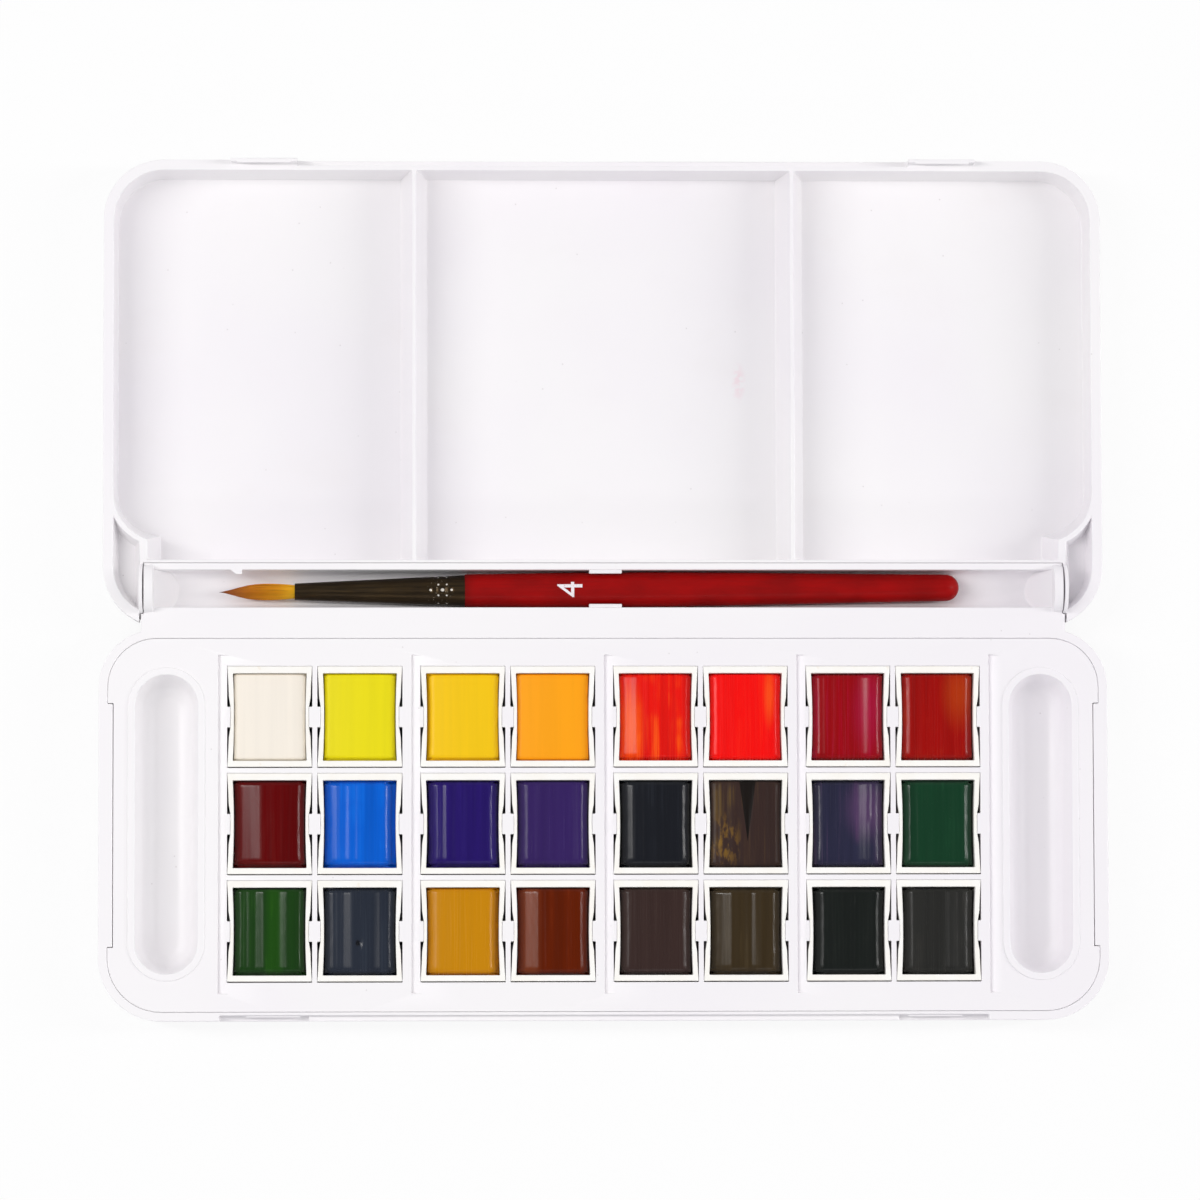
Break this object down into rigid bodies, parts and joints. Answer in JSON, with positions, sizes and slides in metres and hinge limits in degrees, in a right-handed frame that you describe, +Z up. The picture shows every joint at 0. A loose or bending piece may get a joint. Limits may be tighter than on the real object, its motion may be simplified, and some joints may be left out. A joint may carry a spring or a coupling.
{
  "type": "watercolour paint set",
  "caption": "Flat white paint box that opens on a brush-trough hinge: palette lid with mixing wells, base tray of lift-out half pans with oval wells, and a round brush.",
  "frame": {"origin": "on the table, under the middle of the hinge, with the box open flat", "axes": "+X along the hinge, +Y from the hinge towards the lid, +Z up"},
  "size_m": [0.1924, 0.1646, 0.0172],
  "materials": {
    "white_plastic": "satin moulded",
    "red_lacquer": "gloss lacquer",
    "ferrule_metal": "dark plated",
    "brush_hair": "fine synthetic hair",
    "pan_plastic": "moulded",
    "off_white": "dried paint",
    "lemon_yellow": "dried paint",
    "golden_yellow": "dried paint",
    "orange_yellow": "dried paint",
    "vermilion": "dried paint",
    "bright_red": "dried paint",
    "crimson": "dried paint",
    "deep_red": "dried paint",
    "maroon": "dried paint",
    "cerulean_blue": "dried paint",
    "ultramarine_violet": "dried paint",
    "violet": "dried paint",
    "blue_black": "dried paint",
    "dark_brown": "dried paint",
    "indigo": "dried paint",
    "viridian": "dried paint",
    "forest_green": "dried paint",
    "payne_grey": "dried paint",
    "yellow_ochre": "dried paint",
    "burnt_sienna": "dried paint",
    "umber": "dried paint",
    "olive_brown": "dried paint",
    "green_black": "dried paint",
    "charcoal": "dried paint"
  },
  "bodies": {
    "base": {"base_shell": "white_plastic", "pan_tray": "white_plastic", "brush_clips": "white_plastic"},
    "lid": {"lid": "white_plastic"},
    "brush": {"brush_handle": "red_lacquer", "brush_ferrule": "ferrule_metal", "brush_hair": "brush_hair"},
    "pan_11": {"half_pan_11": "pan_plastic", "paint_11": "off_white"},
    "pan_12": {"half_pan_12": "pan_plastic", "paint_12": "lemon_yellow"},
    "pan_13": {"half_pan_13": "pan_plastic", "paint_13": "golden_yellow"},
    "pan_14": {"half_pan_14": "pan_plastic", "paint_14": "orange_yellow"},
    "pan_15": {"half_pan_15": "pan_plastic", "paint_15": "vermilion"},
    "pan_16": {"half_pan_16": "pan_plastic", "paint_16": "bright_red"},
    "pan_17": {"half_pan_17": "pan_plastic", "paint_17": "crimson"},
    "pan_18": {"half_pan_18": "pan_plastic", "paint_18": "deep_red"},
    "pan_21": {"half_pan_21": "pan_plastic", "paint_21": "maroon"},
    "pan_22": {"half_pan_22": "pan_plastic", "paint_22": "cerulean_blue"},
    "pan_23": {"half_pan_23": "pan_plastic", "paint_23": "ultramarine_violet"},
    "pan_24": {"half_pan_24": "pan_plastic", "paint_24": "violet"},
    "pan_25": {"half_pan_25": "pan_plastic", "paint_25": "blue_black"},
    "pan_26": {"half_pan_26": "pan_plastic", "paint_26": "dark_brown"},
    "pan_27": {"half_pan_27": "pan_plastic", "paint_27": "indigo"},
    "pan_28": {"half_pan_28": "pan_plastic", "paint_28": "viridian"},
    "pan_31": {"half_pan_31": "pan_plastic", "paint_31": "forest_green"},
    "pan_32": {"half_pan_32": "pan_plastic", "paint_32": "payne_grey"},
    "pan_33": {"half_pan_33": "pan_plastic", "paint_33": "yellow_ochre"},
    "pan_34": {"half_pan_34": "pan_plastic", "paint_34": "burnt_sienna"},
    "pan_35": {"half_pan_35": "pan_plastic", "paint_35": "umber"},
    "pan_36": {"half_pan_36": "pan_plastic", "paint_36": "olive_brown"},
    "pan_37": {"half_pan_37": "pan_plastic", "paint_37": "green_black"},
    "pan_38": {"half_pan_38": "pan_plastic", "paint_38": "charcoal"}
  },
  "joints": [
    {"name": "lid_hinge", "type": "hinge", "parent": "base", "child": "lid", "pos_m": [0, 0, 0.0125], "axis": [-1, 0, 0], "range_deg": [-180, 0]},
    {"name": "brush_lift", "type": "slide", "parent": "base", "child": "brush", "axis": [0, 0, 1], "range_m": [0, 0.03], "deforming": ["brush_clips"]},
    {"name": "pan_11_lift", "type": "slide", "parent": "base", "child": "pan_11", "axis": [0, 0, 1], "range_m": [0, 0.02]},
    {"name": "pan_12_lift", "type": "slide", "parent": "base", "child": "pan_12", "axis": [0, 0, 1], "range_m": [0, 0.02]},
    {"name": "pan_13_lift", "type": "slide", "parent": "base", "child": "pan_13", "axis": [0, 0, 1], "range_m": [0, 0.02]},
    {"name": "pan_14_lift", "type": "slide", "parent": "base", "child": "pan_14", "axis": [0, 0, 1], "range_m": [0, 0.02]},
    {"name": "pan_15_lift", "type": "slide", "parent": "base", "child": "pan_15", "axis": [0, 0, 1], "range_m": [0, 0.02]},
    {"name": "pan_16_lift", "type": "slide", "parent": "base", "child": "pan_16", "axis": [0, 0, 1], "range_m": [0, 0.02]},
    {"name": "pan_17_lift", "type": "slide", "parent": "base", "child": "pan_17", "axis": [0, 0, 1], "range_m": [0, 0.02]},
    {"name": "pan_18_lift", "type": "slide", "parent": "base", "child": "pan_18", "axis": [0, 0, 1], "range_m": [0, 0.02]},
    {"name": "pan_21_lift", "type": "slide", "parent": "base", "child": "pan_21", "axis": [0, 0, 1], "range_m": [0, 0.02]},
    {"name": "pan_22_lift", "type": "slide", "parent": "base", "child": "pan_22", "axis": [0, 0, 1], "range_m": [0, 0.02]},
    {"name": "pan_23_lift", "type": "slide", "parent": "base", "child": "pan_23", "axis": [0, 0, 1], "range_m": [0, 0.02]},
    {"name": "pan_24_lift", "type": "slide", "parent": "base", "child": "pan_24", "axis": [0, 0, 1], "range_m": [0, 0.02]},
    {"name": "pan_25_lift", "type": "slide", "parent": "base", "child": "pan_25", "axis": [0, 0, 1], "range_m": [0, 0.02]},
    {"name": "pan_26_lift", "type": "slide", "parent": "base", "child": "pan_26", "axis": [0, 0, 1], "range_m": [0, 0.02]},
    {"name": "pan_27_lift", "type": "slide", "parent": "base", "child": "pan_27", "axis": [0, 0, 1], "range_m": [0, 0.02]},
    {"name": "pan_28_lift", "type": "slide", "parent": "base", "child": "pan_28", "axis": [0, 0, 1], "range_m": [0, 0.02]},
    {"name": "pan_31_lift", "type": "slide", "parent": "base", "child": "pan_31", "axis": [0, 0, 1], "range_m": [0, 0.02]},
    {"name": "pan_32_lift", "type": "slide", "parent": "base", "child": "pan_32", "axis": [0, 0, 1], "range_m": [0, 0.02]},
    {"name": "pan_33_lift", "type": "slide", "parent": "base", "child": "pan_33", "axis": [0, 0, 1], "range_m": [0, 0.02]},
    {"name": "pan_34_lift", "type": "slide", "parent": "base", "child": "pan_34", "axis": [0, 0, 1], "range_m": [0, 0.02]},
    {"name": "pan_35_lift", "type": "slide", "parent": "base", "child": "pan_35", "axis": [0, 0, 1], "range_m": [0, 0.02]},
    {"name": "pan_36_lift", "type": "slide", "parent": "base", "child": "pan_36", "axis": [0, 0, 1], "range_m": [0, 0.02]},
    {"name": "pan_37_lift", "type": "slide", "parent": "base", "child": "pan_37", "axis": [0, 0, 1], "range_m": [0, 0.02]},
    {"name": "pan_38_lift", "type": "slide", "parent": "base", "child": "pan_38", "axis": [0, 0, 1], "range_m": [0, 0.02]}
  ]
}
